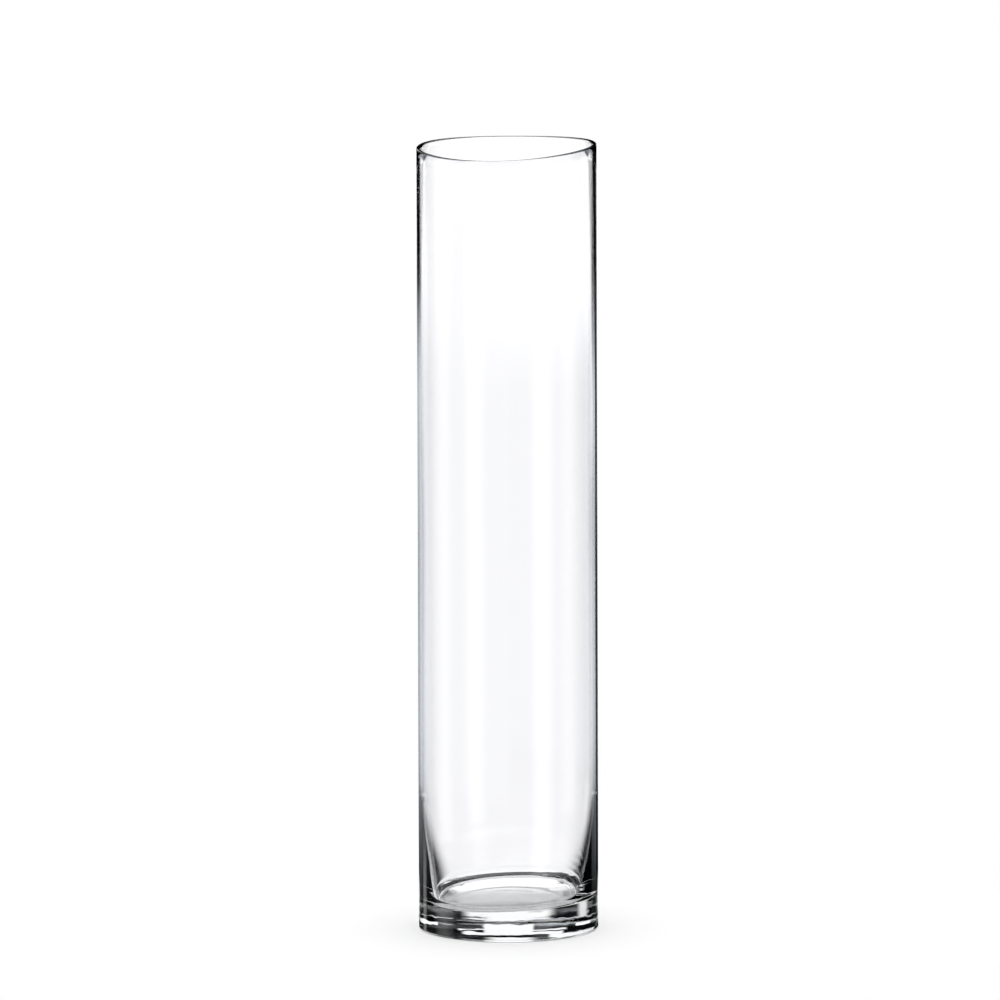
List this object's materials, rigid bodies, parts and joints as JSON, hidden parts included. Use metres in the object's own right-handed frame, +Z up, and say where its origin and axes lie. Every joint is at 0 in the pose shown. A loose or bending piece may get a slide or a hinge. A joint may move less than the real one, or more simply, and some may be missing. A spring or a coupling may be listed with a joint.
{
  "type": "cylinder vase",
  "caption": "Tall straight-sided vase of clear blown glass with a thick clear base and a fire-polished mouth, for cut flowers and long stems.",
  "frame": {"origin": "centre of the circle that the vase stands on, on the table's surface", "axes": "+Z up along the vase's axis, out of the mouth; X and Y are any two level directions, because the vase is round"},
  "size_m": [0.102, 0.102, 0.45],
  "materials": {
    "glass": "clear, fire polished"
  },
  "bodies": {
    "root": {"vase_body": "glass"}
  },
  "joints": []
}
